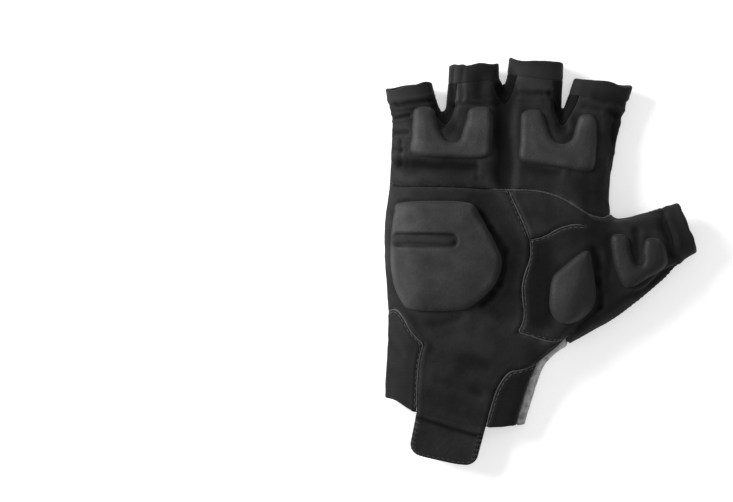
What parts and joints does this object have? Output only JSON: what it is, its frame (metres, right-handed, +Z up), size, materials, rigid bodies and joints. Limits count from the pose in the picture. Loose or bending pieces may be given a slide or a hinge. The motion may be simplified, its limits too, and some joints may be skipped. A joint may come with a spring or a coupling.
{
  "type": "cycling glove",
  "caption": "Half-finger cycling glove for the right hand, palm up, with a padded leather palm, mesh back, grey wrist panel, stitched pull tab and reflective strip on the index finger.",
  "frame": {"origin": "on the flat back of the hand that the glove rests on, under the middle of the palm", "axes": "+X towards the thumb, +Y towards the fingers, +Z up, out of the palm"},
  "size_m": [0.1408, 0.1822, 0.0271],
  "materials": {
    "palm_leather": "matte suede-like synthetic leather, near black",
    "pad_leather": "matte synthetic leather over gel, charcoal",
    "dark_knit": "stretch knit, dark charcoal",
    "back_mesh": "perforated stretch mesh, black",
    "grey_cloth": "printed stretch cloth, light grey fading to dark",
    "hem_cloth": "folded and stitched hem, black",
    "reflective_film": "silver-white reflective transfer film"
  },
  "bodies": {
    "root": {"finger_palm_panel": "palm_leather", "palm_panel": "palm_leather", "index_inset": "palm_leather", "thumb_palm_panel": "palm_leather", "pull_tab": "palm_leather", "gel_pad": "pad_leather", "outer_finger_pad": "pad_leather", "inner_finger_pad": "pad_leather", "thumb_heel_pad": "pad_leather", "thumb_pad": "pad_leather", "cuff_outer_panel": "dark_knit", "cuff_inner_panel": "dark_knit", "gusset_little_ring": "dark_knit", "gusset_ring_middle": "dark_knit", "gusset_middle_index": "dark_knit", "back_panel": "back_mesh", "thumb_back_panel": "back_mesh", "back_cuff_panel": "grey_cloth", "hem_little": "hem_cloth", "hem_ring": "hem_cloth", "hem_middle": "hem_cloth", "hem_index": "hem_cloth", "hem_thumb": "hem_cloth", "reflective_strip": "reflective_film", "reflective_bar_1": "reflective_film", "reflective_bar_2": "reflective_film", "reflective_bar_3": "reflective_film", "reflective_bar_4": "reflective_film"}
  },
  "joints": []
}
